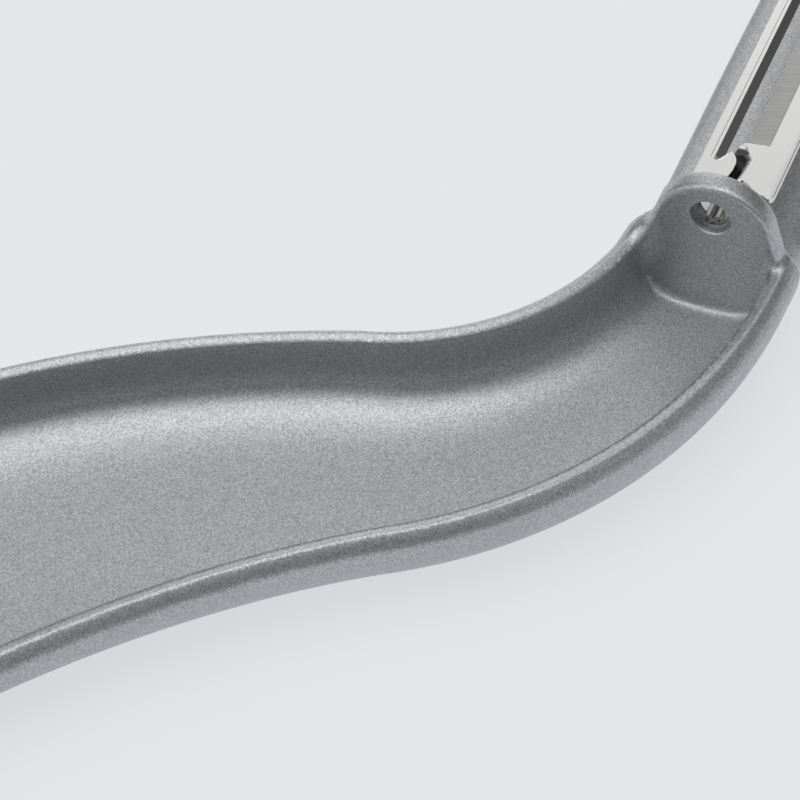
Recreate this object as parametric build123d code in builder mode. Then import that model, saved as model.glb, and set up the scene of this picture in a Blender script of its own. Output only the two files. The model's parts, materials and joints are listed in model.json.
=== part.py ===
from build123d import *

# Vegetable peeler with a swinging blade: one aluminium casting, which is the trough-shaped handle,
# the bow and the two ears, and one stamped steel blade that hangs in the ears on its rolled ends.
# Millimetres. The peeler lies on its closed back with the trough open upwards. +X runs along the
# blade's axis to the tip, +Z is up, and the origin is on the table below the middle of the outline.

import os
from math import cos, degrees, radians, sin

# Pivot axis of the blade
PIVOT_X = 8.7  # outer face of the rear ear
PIVOT_Y = -35.4
PIVOT_Z = 14.8
SPAN = 62.0  # between the ears' outer faces

# Trough handle
TROUGH_LENGTH = 102.0  # along its centreline, from inside the bow to the middle of the round end
TROUGH_START_X = 6.2  # ahead of the rear ear's outer face
TROUGH_START_Y = -0.65  # beside the pivot axis
TROUGH_HEADING = 175.0  # degrees from +X
LEAD_LENGTH = 8.0
BEND_RADIUS = 39.3
BEND_TURN = 58.8
SWEEP_RADIUS = 105.0
EAR_END_HALF = 8.85
PALM_HALF = 17.9
WIDENING_POWER = 1.55
PARTING_Z = 9.0
RIM_Z = 10.5
RIM_WIDTH = 2.4
BEAD_REACH = 3.5  # from the outline to the bead's inner end
BEAD_DROP = 0.7
FLOOR_Z = 2.2
LAND_SHARE = 0.3  # of the half width, flat under the back
FLOOR_SHARE = 0.55  # of the half width, flat inside
TROUGH_STATIONS = 20

# Bow behind the blade
BOW_HALF_MIDDLE = 8.3
BOW_HALF_END = 7.9
BOW_CROWN_MIDDLE = 7.0
BOW_CROWN_END = 9.4
BOW_WIDEST_MIDDLE = 5.0
BOW_WIDEST_END = 7.6
BOW_END_INSET = 1.0
BOW_STATIONS = (4, 6.5, 10, 16, 23.5, 31, 38.5, 46, 53.5)  # from the rear ear's outer face
MEET_X = 2.0  # where the bow takes over the handle's outline
MEET_LENGTH = 8.0
MEET_SHIFT = -0.9
MEET_CROWN = 10.3

# Ears
EAR_THICKNESS = 2.5
EAR_TOP_Z = 18.9
EAR_SHOULDER_Z = 15.2
EAR_SHOULDER_HALF = 6.0
EAR_FOOT_Z = 8.8
EAR_FOOT_HALF = 8.0
EAR_BASE_Z = 5.0
EAR_ROUNDING = 0.9
PIVOT_BORE = 3.4
EYE_BORE = 4.0
EYE_DEPTH = 1.0

# Hanging hole in the handle's round end
HANG_HOLE = 8.0
HANG_COLLAR = 13.0
HANG_COLLAR_Z = 5.2

# Blade, in its own plane: x from the rear ear's outer face, y across, z off the pivot axis
BLADE_TILT = -7.0  # degrees about +X, as it hangs
BLADE_TOP = -0.6
BLADE_THICKNESS = 0.6
BLADE_END = 4.8
BLADE_LEFT = 4.0
BLADE_RIGHT = -4.85
BLADE_CORNER = 1.2
SLOT_LEFT = 2.05
SLOT_RIGHT = 0.35
SLOT_TIP_X = 9.3
SLOT_HEEL_X = 12.0
GUIDE_BEVEL = 0.6
EDGE_BEVEL_WIDTH = 2.4
EDGE_BEVEL_DEPTH = 0.45
NECK_START_X = 7.2
NECK_WIDTH = 4.6
CURL_DIAMETER = 1.2
CURL_SPACING = 1.12
CURL_START_X = 3.6
CURL_END_X = 0.9

MIDDLE_X = PIVOT_X + SPAN / 2
SHEET_MIDDLE = BLADE_TOP - BLADE_THICKNESS / 2
HALF_TURN = 180
OVERRUN = 1.0  # by which a cut runs past what it cuts


# Centreline of the trough: a short lead, the bend towards the palm and the long sweep back
lead_start = (PIVOT_X + TROUGH_START_X, PIVOT_Y + TROUGH_START_Y)
heading = (cos(radians(TROUGH_HEADING)), sin(radians(TROUGH_HEADING)))
bend_length = radians(BEND_TURN) * BEND_RADIUS
sweep_turn = degrees((TROUGH_LENGTH - LEAD_LENGTH - bend_length) / SWEEP_RADIUS)
with BuildLine() as centreline:
    lead = PolarLine(lead_start, LEAD_LENGTH, direction=heading)
    bend = JernArc(lead @ 1, lead % 1, BEND_RADIUS, -BEND_TURN)
    JernArc(bend @ 1, bend % 1, SWEEP_RADIUS, sweep_turn)
route = centreline.wire()


def plane_across(distance):
    """Upright plane square to the centreline, with its y axis up."""
    point = route.position_at(distance, position_mode=PositionMode.LENGTH)
    along = route.tangent_at(distance, position_mode=PositionMode.LENGTH)
    return Plane(origin=point, x_dir=(-along.Y, along.X, 0), z_dir=along)


def trough_half(distance):
    """Half width of the trough, which widens along its length to the round end."""
    growth = sin(radians(90 * distance / TROUGH_LENGTH)) ** WIDENING_POWER
    return EAR_END_HALF + (PALM_HALF - EAR_END_HALF) * growth


def back_flanks(half, widest):
    """Flat land under the back and the rounded flank on its right, up to the widest level."""
    land = LAND_SHARE * half
    bottom = Line((0, 0), (land, 0))
    flank = EllipticalCenterArc((land, widest), half - land, widest, start_angle=270, arc_size=90)
    return bottom, flank


def handle_section(plane, half, whole=True):
    """The handle's outside with its rim bead, before the trough is hollowed."""
    with BuildSketch(plane) as section:
        with BuildLine():
            back_flanks(half, PARTING_Z)
            bead_end = (half - BEAD_REACH, RIM_Z - BEAD_DROP)
            ThreePointArc((half, PARTING_Z), (half - RIM_WIDTH / 2, RIM_Z), bead_end)
            Line(bead_end, (0, bead_end[1]))
            if whole:
                mirror(about=Plane.YZ)
            else:
                Line((0, bead_end[1]), (0, 0))
        make_face()
    return section.sketch


def hollow_section(plane, half, whole=True):
    """The trough's inside, open above the rim."""
    floor_half = FLOOR_SHARE * half
    wall = half - RIM_WIDTH
    open_top = RIM_Z + OVERRUN
    with BuildSketch(plane) as section:
        with BuildLine():
            Line((0, FLOOR_Z), (floor_half, FLOOR_Z))
            EllipticalCenterArc(
                (floor_half, PARTING_Z),
                wall - floor_half,
                PARTING_Z - FLOOR_Z,
                start_angle=270,
                arc_size=90,
            )
            Line((wall, PARTING_Z), (wall, open_top))
            Line((wall, open_top), (0, open_top))
            if whole:
                mirror(about=Plane.YZ)
            else:
                Line((0, open_top), (0, FLOOR_Z))
        make_face()
    return section.sketch


def bow_section(x, whole=True):
    """The bow's outside, higher and narrower to both ears and drawn to the handle's outline at one."""
    lift = ((x - SPAN / 2) / (SPAN / 2 - BOW_END_INSET)) ** 2
    meet = max(0, 1 - (x - MEET_X) / MEET_LENGTH) ** 2
    half = BOW_HALF_MIDDLE + (BOW_HALF_END - BOW_HALF_MIDDLE) * lift
    widest = BOW_WIDEST_MIDDLE + (BOW_WIDEST_END - BOW_WIDEST_MIDDLE) * lift**2
    widest += (PARTING_Z - widest) * meet
    crown = BOW_CROWN_MIDDLE + (BOW_CROWN_END - BOW_CROWN_MIDDLE) * lift**2
    crown += (MEET_CROWN - crown) * meet
    y = PIVOT_Y + MEET_SHIFT * meet
    plane = Plane(origin=(PIVOT_X + x, y, 0), x_dir=(0, 1, 0), z_dir=(1, 0, 0))
    with BuildSketch(plane) as section:
        with BuildLine():
            back_flanks(half, widest)
            EllipticalCenterArc((0, widest), half, crown - widest, start_angle=0, arc_size=90)
            if whole:
                mirror(about=Plane.YZ)
            else:
                Line((0, crown), (0, 0))
        make_face()
    return section.sketch


# Sections along the handle and the bow
trough_steps = [TROUGH_LENGTH * i / (TROUGH_STATIONS - 1) for i in range(TROUGH_STATIONS)]
handle_sections = [handle_section(plane_across(d), trough_half(d)) for d in trough_steps]
hollow_sections = [hollow_section(plane_across(d), trough_half(d)) for d in trough_steps]
end_plane = plane_across(TROUGH_LENGTH)
end_axis = Axis(end_plane.origin, (0, 0, -1))
end_outside = handle_section(end_plane, PALM_HALF, whole=False)
end_inside = hollow_section(end_plane, PALM_HALF, whole=False)
nose_x = SPAN - BOW_END_INSET
bow_sections = [bow_section(x) for x in (MEET_X, *BOW_STATIONS, nose_x)]
nose_axis = Axis((PIVOT_X + nose_x, PIVOT_Y, 0), (0, 0, -1))
nose_outside = bow_section(nose_x, whole=False)

# Outside of the handle, cut off square behind the rear ear
ear_back = Plane(origin=(PIVOT_X + EAR_THICKNESS, 0, 0), z_dir=(-1, 0, 0))
with BuildPart() as handle_outside:
    loft(sections=handle_sections)
    split(bisect_by=ear_back, keep=Keep.TOP)

# Inside of the trough, cut off square at the rear ear's outer face
ear_front = Plane(origin=(PIVOT_X, 0, 0), z_dir=(-1, 0, 0))
with BuildPart() as trough_inside:
    loft(sections=hollow_sections)
    split(bisect_by=ear_front, keep=Keep.TOP)
    revolve(profiles=end_inside, axis=end_axis, revolution_arc=HALF_TURN)

# One ear, standing between the rear ear's two faces
with BuildPart() as rear_ear:
    with BuildSketch(Plane(origin=(PIVOT_X, PIVOT_Y, 0), x_dir=(0, 1, 0), z_dir=(1, 0, 0))):
        with BuildLine():
            Line((0, EAR_BASE_Z), (EAR_FOOT_HALF, EAR_BASE_Z))
            Line((EAR_FOOT_HALF, EAR_BASE_Z), (EAR_FOOT_HALF, EAR_FOOT_Z))
            Line((EAR_FOOT_HALF, EAR_FOOT_Z), (EAR_SHOULDER_HALF, EAR_SHOULDER_Z))
            ThreePointArc(
                (EAR_SHOULDER_HALF, EAR_SHOULDER_Z), (0, EAR_TOP_Z), (-EAR_SHOULDER_HALF, EAR_SHOULDER_Z)
            )
            Line((-EAR_SHOULDER_HALF, EAR_SHOULDER_Z), (-EAR_FOOT_HALF, EAR_FOOT_Z))
            Line((-EAR_FOOT_HALF, EAR_FOOT_Z), (-EAR_FOOT_HALF, EAR_BASE_Z))
            Line((-EAR_FOOT_HALF, EAR_BASE_Z), (0, EAR_BASE_Z))
        make_face()
    extrude(amount=EAR_THICKNESS)
    face_edges = rear_ear.edges().filter_by(Plane.YZ)
    fillet(face_edges.filter_by(lambda edge: edge.center().Z > EAR_FOOT_Z), EAR_ROUNDING)
    with Locations(Plane(origin=(PIVOT_X, PIVOT_Y, PIVOT_Z), z_dir=(-1, 0, 0))):
        CounterBoreHole(PIVOT_BORE / 2, EYE_BORE / 2, EYE_DEPTH, EAR_THICKNESS + OVERRUN)

# The casting: handle, ears and bow in one
middle = Plane(origin=(MIDDLE_X, 0, 0), z_dir=(1, 0, 0))
with BuildPart() as handle_casting:
    add(handle_outside.part)
    revolve(profiles=end_outside, axis=end_axis, revolution_arc=HALF_TURN)
    loft(sections=bow_sections)
    revolve(profiles=nose_outside, axis=nose_axis, revolution_arc=HALF_TURN)
    add(trough_inside.part, mode=Mode.SUBTRACT)
    with Locations(end_plane.origin):
        Cylinder(HANG_COLLAR / 2, HANG_COLLAR_Z, align=(Align.CENTER, Align.CENTER, Align.MIN))
        Hole(HANG_HOLE / 2)
    add(rear_ear.part)
    mirror(objects=rear_ear.part, about=middle)

# The blade's plane, tilted about the pivot axis
blade_plane = Plane(
    origin=(PIVOT_X, PIVOT_Y, PIVOT_Z),
    x_dir=(1, 0, 0),
    z_dir=(0, -sin(radians(BLADE_TILT)), cos(radians(BLADE_TILT))),
)


def across_blade(x):
    """Plane square to the blade, x axis across it and y axis off the pivot axis."""
    return Plane(origin=blade_plane.from_local_coords((x, 0, 0)), x_dir=blade_plane.y_dir, z_dir=(1, 0, 0))


# The blade, made as its rear half and mirrored
with BuildPart() as blade:
    # Strip, with its rounded corners
    with BuildSketch(blade_plane.offset(BLADE_TOP)):
        with BuildLine():
            strip = Polyline(
                (SPAN / 2, BLADE_LEFT),
                (BLADE_END, BLADE_LEFT),
                (BLADE_END, BLADE_RIGHT),
                (SPAN / 2, BLADE_RIGHT),
            )
            fillet(strip.vertices().sort_by(Axis.X)[:2], BLADE_CORNER)
            Line((SPAN / 2, BLADE_RIGHT), (SPAN / 2, BLADE_LEFT))
        make_face()
    extrude(amount=-BLADE_THICKNESS)

    # Slot that the peel passes through, with its slanting end
    with BuildSketch(blade_plane.offset(BLADE_TOP)):
        with BuildLine():
            Polyline(
                (SPAN / 2 + OVERRUN, SLOT_LEFT),
                (SLOT_TIP_X, SLOT_LEFT),
                (SLOT_HEEL_X, SLOT_RIGHT),
                (SPAN / 2 + OVERRUN, SLOT_RIGHT),
                close=True,
            )
        make_face()
    extrude(amount=-BLADE_THICKNESS, mode=Mode.SUBTRACT)

    # Blunt bevel of the guide lip and long ground bevel of the cutting lip
    with BuildSketch(across_blade(SLOT_TIP_X)):
        with BuildLine():
            Polyline(
                (SLOT_LEFT, BLADE_TOP),
                (SLOT_LEFT + GUIDE_BEVEL, BLADE_TOP),
                (SLOT_LEFT, BLADE_TOP - GUIDE_BEVEL),
                close=True,
            )
        make_face()
    extrude(amount=SPAN / 2 + OVERRUN - SLOT_TIP_X, mode=Mode.SUBTRACT)
    with BuildSketch(across_blade(SLOT_HEEL_X)):
        with BuildLine():
            Polyline(
                (SLOT_RIGHT, BLADE_TOP),
                (SLOT_RIGHT - EDGE_BEVEL_WIDTH, BLADE_TOP),
                (SLOT_RIGHT, BLADE_TOP - EDGE_BEVEL_DEPTH),
                close=True,
            )
        make_face()
    extrude(amount=SPAN / 2 + OVERRUN - SLOT_HEEL_X, mode=Mode.SUBTRACT)

    # Neck from the strip to the rolled end
    with BuildSketch(across_blade(NECK_START_X)):
        with Locations((0, SHEET_MIDDLE)):
            Rectangle(NECK_WIDTH, BLADE_THICKNESS)
    with BuildSketch(across_blade(CURL_START_X)):
        with Locations((0, SHEET_MIDDLE)):
            SlotOverall(CURL_SPACING + CURL_DIAMETER, CURL_DIAMETER)
    loft()

    # Rolled end: the strip's two edges curled up side by side
    with BuildSketch(across_blade(CURL_START_X)):
        with Locations((-CURL_SPACING / 2, SHEET_MIDDLE), (CURL_SPACING / 2, SHEET_MIDDLE)):
            Circle(CURL_DIAMETER / 2)
    extrude(amount=-(CURL_START_X - CURL_END_X))
    mirror(about=middle)

handle_casting.part.label = "handle_casting"
blade.part.label = "blade"

os.makedirs("parts", exist_ok=True)
export_step(handle_casting.part, "parts/handle_casting.step")
export_step(blade.part, "parts/blade.step")
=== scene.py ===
# Vegetable peeler with a swinging blade: one die-cast aluminium handle with its bow and ears under a
# silver lacquer, and one stamped steel blade. Metres throughout; sizes are written as millimetres * MM.

import json
from math import cos, pi, radians, sin, sqrt

import bmesh
import bpy
import numpy as np
from mathutils import Matrix, Vector
from mathutils.bvhtree import BVHTree


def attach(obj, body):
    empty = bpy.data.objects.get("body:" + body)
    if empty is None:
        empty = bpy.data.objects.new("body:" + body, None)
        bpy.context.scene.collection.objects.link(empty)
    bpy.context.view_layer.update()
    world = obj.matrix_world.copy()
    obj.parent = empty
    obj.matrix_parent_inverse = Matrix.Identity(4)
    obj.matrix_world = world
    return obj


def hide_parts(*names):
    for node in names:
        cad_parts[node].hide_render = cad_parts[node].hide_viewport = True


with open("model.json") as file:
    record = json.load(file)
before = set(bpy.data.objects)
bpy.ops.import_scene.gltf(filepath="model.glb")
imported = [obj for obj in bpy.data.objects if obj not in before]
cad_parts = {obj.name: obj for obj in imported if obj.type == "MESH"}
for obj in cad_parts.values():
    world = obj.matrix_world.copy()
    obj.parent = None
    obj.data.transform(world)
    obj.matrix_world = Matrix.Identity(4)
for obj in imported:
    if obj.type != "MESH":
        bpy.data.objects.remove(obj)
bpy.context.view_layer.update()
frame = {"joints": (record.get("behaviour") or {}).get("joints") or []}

MM = 0.001
QUARTER = pi / 2
TINY = 1e-9  # a millionth of a millimetre, below every size here
WELD = 0.0005 * MM  # points closer than this are one
SKIN_WELD = 0.002 * MM

# Pivot axis of the blade, where it leaves the rear ear's outer face
PIVOT = Vector(frame["joints"][0]["pos_m"])
SPAN = 62 * MM

# Trough handle
ROUTE_START = Vector((PIVOT.x + 6.2 * MM, PIVOT.y - 0.65 * MM, 0))
ROUTE_HEADING = radians(175)
LEAD_LENGTH = 8 * MM
BEND_TURN = radians(-58.8)
BEND_LENGTH = -BEND_TURN * 39.3 * MM
SWEEP_LENGTH = 102 * MM - LEAD_LENGTH - BEND_LENGTH
SWEEP_TURN = SWEEP_LENGTH / (105 * MM)
ROUTE = ((LEAD_LENGTH, 0.0), (BEND_LENGTH, BEND_TURN), (SWEEP_LENGTH, SWEEP_TURN))
ROUTE_LENGTH = LEAD_LENGTH + BEND_LENGTH + SWEEP_LENGTH
SQUARE_FROM = 13 * MM  # along the route, where the sections start to turn square to the ear
SQUARE_AT = 5.8 * MM  # where they are square to it
TROUGH_END_AT = 4.5 * MM  # the trough's last section, inside the ear
EAR_END_HALF = 8.74 * MM
PALM_HALF = 17.9 * MM
WIDENING_POWER = 1.55
PARTING_Z = 9.0 * MM
CREST_Z = 10.55 * MM
CREST_INSET = 1.2 * MM
RIM_WIDTH = 2.4 * MM
RIM_SWELL = 0.09  # of the crest's inset, by which the rim's outer face is rounded
RIM_TOP_END = 0.72  # of the rim's width, where its flat top ends
RIM_TOP_FALL = 0.14 * MM
RIM_INNER_START = 0.84  # of the rim's width, where its inner rounding starts
RIM_INNER_FALL = 0.2 * MM
RIM_INNER_ROUNDING = 0.42 * MM
FLOOR_Z = 2.2 * MM
LAND_SHARE = 0.3  # of the half width, flat below for the peeler to rest on
FLOOR_HOLLOW = 0.12  # of the trough's depth, given by the floor's gentle hollow; the rest is wall
WALL_POWER = 4.5  # sharpness of the corner between floor and wall

# Bow behind the blade
BOW_HALF_MIDDLE = 8.3 * MM
BOW_HALF_END = 7.9 * MM
BOW_CROWN_MIDDLE = 7.0 * MM
BOW_CROWN_END = 9.4 * MM
BOW_WIDEST_MIDDLE = 5.0 * MM
BOW_WIDEST_END = 7.6 * MM
BOW_INSET = 1.0 * MM
MEET_X = 2.0 * MM  # the bow's first section, inside the rear ear
MEET_LENGTH = 8.0 * MM  # over which the bow takes its own shape
MEET_SHIFT = -0.9 * MM
MEET_CROWN = 10.3 * MM

# Ears
EAR_THICKNESS = 2.5 * MM
EAR_TOP_Z = 18.9 * MM
EAR_Y = PIVOT.y - 0.35 * MM
EAR_SHOULDER = (5.75 * MM, 15.2 * MM)  # half width and height, as for the foot and the base
EAR_FOOT = (7.65 * MM, 8.8 * MM)
EAR_BASE = (4.6 * MM, 1.5 * MM)
EAR_ROUNDING = 0.55 * MM
EAR_HEAD_POINTS = 41
BORE_RADIUS = 1.7 * MM
EYE_RADIUS = 2.0 * MM
EYE_DEPTH = 1.0 * MM
EYE_EASING = 0.22 * MM

# Hanging hole and its collar in the handle's round end
HANG_RADIUS = 4.0 * MM
COLLAR_RADIUS = 6.5 * MM
COLLAR_Z = 5.2 * MM
COLLAR_ROUNDING = 0.5 * MM
HANG_EASING = 0.5 * MM

# Cast fillets
FILLET_AT_FLOOR = 0.9 * MM
FILLET_UP_WALL = 0.3 * MM
FILLET_AT_LEFT_RIM = 1.3 * MM
FILLET_CLIMB = (3.5 * MM, 5.5 * MM)  # height where the fillet starts to widen, and over how much more
FILLET_SPREAD = 6 * MM
FILLET_REGION = 3.2 * MM
FILLET_ROUNDS = 4
LEAST_STEEPNESS = 0.2
COLLAR_FILLET = 1.2 * MM

# How fast the steel's colour darkens to painted shade where the sheet is pressed down into the valley, and
# on the rolled tongue in the bore
PAINTED_SHADE_GAIN = 2.5

# Fineness of the casting's skin
TROUGH_STEPS = 150
BOW_STEPS = 75
FAN_STEPS = 48
FLANK_STEPS = 24
WALL_CROWDING = 2.2  # crowds a section's points towards the wall
ROUND_STEPS = 64
SKIN_GRAIN = PARTING_Z / 21.5  # puts the parting edge in the middle of a row of cells
CASTING_CREASE = radians(50)


def add_node(tree, kind, inputs=None, **settings):
    """Adds a node, sets it up and feeds its sockets with values or with other nodes' sockets."""
    node = tree.nodes.new(kind)
    for name, value in settings.items():
        setattr(node, name, value)
    for socket, value in (inputs or {}).items():
        if isinstance(value, bpy.types.NodeSocket):
            tree.links.new(value, node.inputs[socket])
        else:
            node.inputs[socket].default_value = value
    return node


def calculate(tree, operation, *values, **settings):
    """Result of a Math node on values or sockets."""
    inputs = dict(enumerate(values))
    return add_node(tree, "ShaderNodeMath", inputs, operation=operation, **settings).outputs[0]


def linear(hex_colour):
    """Linear RGBA of an sRGB hex colour."""
    channels = [int(hex_colour[i : i + 2], 16) / 255 for i in (1, 3, 5)]
    return [c / 12.92 if c <= 0.04045 else ((c + 0.055) / 1.055) ** 2.4 for c in channels] + [1.0]


def mesh_object(name, mesh):
    """Puts a mesh into the scene as an object at the origin."""
    made = bpy.data.objects.new(name, mesh)
    bpy.context.scene.collection.objects.link(made)
    return made


def settled(made):
    """Plain mesh of an object with its modifiers worked in; the object itself is removed."""
    graph = bpy.context.evaluated_depsgraph_get()
    mesh = bpy.data.meshes.new_from_object(made.evaluated_get(graph), depsgraph=graph)
    bpy.data.objects.remove(made)
    return mesh


def ease(value):
    """Smooth step from 0 to 1."""
    value = np.clip(value, 0.0, 1.0)
    return value * value * (3 - 2 * value)


def material_tree(name):
    """New material with an empty tree; returns it, its tree and its shader joined to the output."""
    made = bpy.data.materials.new(name)
    made.use_nodes = True
    made.node_tree.nodes.clear()
    shader = add_node(made.node_tree, "ShaderNodeBsdfPrincipled")
    add_node(made.node_tree, "ShaderNodeOutputMaterial", {"Surface": shader.outputs[0]})
    return made, made.node_tree, shader


def geometry_tree(name, inputs):
    """New Geometry Nodes tree with geometry in and out and more inputs, and its inputs' sockets."""
    tree = bpy.data.node_groups.new(name, "GeometryNodeTree")
    for socket, kind in {"Geometry": "Geometry", **inputs}.items():
        tree.interface.new_socket(socket, in_out="INPUT", socket_type=f"NodeSocket{kind}")
    tree.interface.new_socket("Geometry", in_out="OUTPUT", socket_type="NodeSocketGeometry")
    return tree, add_node(tree, "NodeGroupInput").outputs


# Materials


def tint(tree, shader, share, first, second):
    """Gives a shader the colour between two hex colours."""
    colours = {"Factor": share, 6: linear(first), 7: linear(second)}
    tone = add_node(tree, "ShaderNodeMix", colours, data_type="RGBA")
    tree.links.new(tone.outputs[2], shader.inputs["Base Color"])


def emboss(tree, shader, height, strength, distance):
    """Gives a shader a fine relief."""
    bump = add_node(
        tree, "ShaderNodeBump", {"Height": height, "Strength": strength, "Distance": distance}
    )
    tree.links.new(bump.outputs["Normal"], shader.inputs["Normal"])


def sand_lacquer():
    """Silver sand-textured lacquer, sprayed over the aluminium die casting and baked.

    Coarse aluminium flakes, shown about 0.11 mm across, lie in it at all angles. So the eye gets a
    satin grey with a fine sparkle, paler where the surface turns up to the pale ceiling.
    """
    made, tree, shader = material_tree("silver_sand_lacquer_on_die_cast_aluminium")
    place = add_node(tree, "ShaderNodeTexCoord").outputs["Object"]
    flake = add_node(tree, "ShaderNodeTexVoronoi", {"Vector": place, "Scale": 1 / (0.11 * MM)})
    sand = add_node(
        tree,
        "ShaderNodeTexNoise",
        {"Vector": place, "Scale": 1 / (0.25 * MM), "Detail": 2.0, "Roughness": 0.6},
    )
    flake_tone = add_node(tree, "ShaderNodeSeparateColor", {"Color": flake.outputs["Color"]})
    tint(tree, shader, flake_tone.outputs["Red"], "#9C9DA0", "#D2D3D5")
    lift = calculate(tree, "MULTIPLY_ADD", flake_tone.outputs["Green"], 0.6, sand.outputs["Fac"])
    emboss(tree, shader, lift, strength=0.45, distance=0.03 * MM)
    shader.inputs["Metallic"].default_value = 0.8
    shader.inputs["Roughness"].default_value = 0.38
    return made


def polished_steel():
    """Stainless strip, cold-rolled and polished before stamping.

    It mirrors the room in one even pale tone. Where the sheet was pressed down between the two lobes,
    the polish is torn, which shows as mottling; there, and on the rolled tongue inside the bore, the colour
    is also painted dark as painted shade.
    """
    made, tree, shader = material_tree("polished_stainless_strip")
    place = add_node(tree, "ShaderNodeTexCoord").outputs["Object"]
    drawn = add_node(tree, "ShaderNodeAttribute", attribute_name="drawn").outputs["Fac"]
    tear = add_node(tree, "ShaderNodeTexNoise", {"Vector": place, "Scale": 1 / (0.5 * MM), "Detail": 3.0})
    torn = calculate(tree, "MULTIPLY", tear.outputs["Fac"], drawn)
    painted_shade = calculate(tree, "MULTIPLY", drawn, PAINTED_SHADE_GAIN, use_clamp=True)
    # The dark grey #464646 is painted shade: the valley between the lobes and the tongue in the bore get a
    # darker colour, besides their roughness.
    tint(tree, shader, painted_shade, "#DCDCDA", "#464646")
    rough = add_node(tree, "ShaderNodeMapRange", {"Value": torn, "To Min": 0.13, "To Max": 0.75})
    tree.links.new(rough.outputs["Result"], shader.inputs["Roughness"])
    emboss(tree, shader, torn, strength=0.6, distance=0.12 * MM)
    shader.inputs["Metallic"].default_value = 1.0
    return made


def ground_steel():
    """Edge bevel of the same strip, ground across the blade on a wheel.

    The scratches run across the blade, about 0.16 mm apart and 9 mm long, and spread the light along
    it, so the bevel looks grey beside the polished strip.
    """
    made, tree, shader = material_tree("cross_ground_stainless_edge")
    place = add_node(tree, "ShaderNodeTexCoord").outputs["Object"]
    fineness = (1 / (0.16 * MM), 1 / (9 * MM), 1 / (9 * MM))
    across = add_node(tree, "ShaderNodeMapping", {"Vector": place, "Scale": fineness})
    scratch = add_node(
        tree,
        "ShaderNodeTexNoise",
        {"Vector": across.outputs[0], "Scale": 1.0, "Detail": 3.0, "Roughness": 0.7},
    )
    tint(tree, shader, scratch.outputs["Fac"], "#8F8F8E", "#C4C4C2")
    emboss(tree, shader, scratch.outputs["Fac"], strength=0.25, distance=0.02 * MM)
    shader.inputs["Metallic"].default_value = 1.0
    shader.inputs["Roughness"].default_value = 0.3
    return made


# Casting: sections along the handle and the bow


def route_at(distance):
    """Point on the trough's centreline and its heading there."""
    point = ROUTE_START.copy()
    heading = ROUTE_HEADING
    for length, turn in ROUTE:
        stretch = min(max(distance, 0.0), length)
        bend = turn * stretch / length
        chord = stretch * (sin(bend / 2) / (bend / 2) if bend else 1.0)
        point += chord * Vector((cos(heading + bend / 2), sin(heading + bend / 2), 0))
        heading += bend
        distance -= stretch
    return point, heading


def trough_station(distance):
    """Section of the trough; close to the ear it turns square to the blade's axis."""
    point, heading = route_at(distance)
    turned = (pi - ROUTE_HEADING) * ease((SQUARE_FROM - distance) / (SQUARE_FROM - SQUARE_AT))
    growth = sin(QUARTER * distance / ROUTE_LENGTH) ** WIDENING_POWER
    half = (EAR_END_HALF + (PALM_HALF - EAR_END_HALF) * growth) / cos(turned)
    left = Vector((sin(heading + turned), -cos(heading + turned), 0))
    return {"origin": point, "left": left, "sizes": (half, PARTING_Z, 0), "bow": 0.0}


def bow_station(x):
    """Section of the bow at a distance from the rear ear's outer face."""
    lift = ((x - SPAN / 2) / (SPAN / 2 - BOW_INSET)) ** 2
    meet = max(0.0, 1 - (x - MEET_X) / MEET_LENGTH) ** 2
    half = BOW_HALF_MIDDLE + (BOW_HALF_END - BOW_HALF_MIDDLE) * lift
    widest = BOW_WIDEST_MIDDLE + (BOW_WIDEST_END - BOW_WIDEST_MIDDLE) * lift**2
    widest += (PARTING_Z - widest) * meet
    crown = BOW_CROWN_MIDDLE + (BOW_CROWN_END - BOW_CROWN_MIDDLE) * lift**2
    crown += (MEET_CROWN - crown) * meet
    origin = Vector((PIVOT.x + x, PIVOT.y + MEET_SHIFT * meet, 0))
    return {"origin": origin, "left": Vector((0, 1, 0)), "sizes": (half, widest, crown), "bow": 1.0}


def loop_stations():
    """Half sections all the way round: up the left side, round the nose, back and round the end."""
    trough = [trough_station(d) for d in np.linspace(ROUTE_LENGTH, TROUGH_END_AT, TROUGH_STEPS).tolist()]
    bow = [bow_station(x) for x in np.linspace(MEET_X, SPAN - BOW_INSET, BOW_STEPS).tolist()]
    straight = trough + bow
    turns = [pi * step / FAN_STEPS for step in range(1, FAN_STEPS)]
    loop = [(station, 0.0) for station in straight]
    loop += [(straight[-1], -angle) for angle in turns]
    loop += [(station, pi) for station in reversed(straight)]
    loop += [(straight[0], pi - angle) for angle in turns]
    loop.append(loop[0])
    return [{**station, "side": Matrix.Rotation(turn, 3, "Z") @ station["left"]} for station, turn in loop]


def rim_profile():
    """Rim from the parting edge to the wall: leaning outer face, crest, flat top and inner rounding.

    Each point is (share of the rim's width in from the outline, height).
    """
    crest = CREST_INSET / RIM_WIDTH
    points = [(0.0, PARTING_Z)]
    for share in (0.12, 0.3, 0.5, 0.7, 0.85, 0.94, 1.0):
        swell = RIM_SWELL * sin(pi * share)
        points.append((crest * (share - swell), PARTING_Z + (CREST_Z - PARTING_Z) * (share + swell * 0.6)))
    points += [(crest + 0.04, CREST_Z + 0.03 * MM), (crest + 0.1, CREST_Z)]
    points.append((RIM_TOP_END, CREST_Z - RIM_TOP_FALL))
    for angle in np.linspace(0, QUARTER, 6):
        share = RIM_INNER_START + (1 - RIM_INNER_START) * sin(angle)
        points.append((share, CREST_Z - RIM_INNER_FALL - RIM_INNER_ROUNDING * (1 - cos(angle))))
    return points


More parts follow.
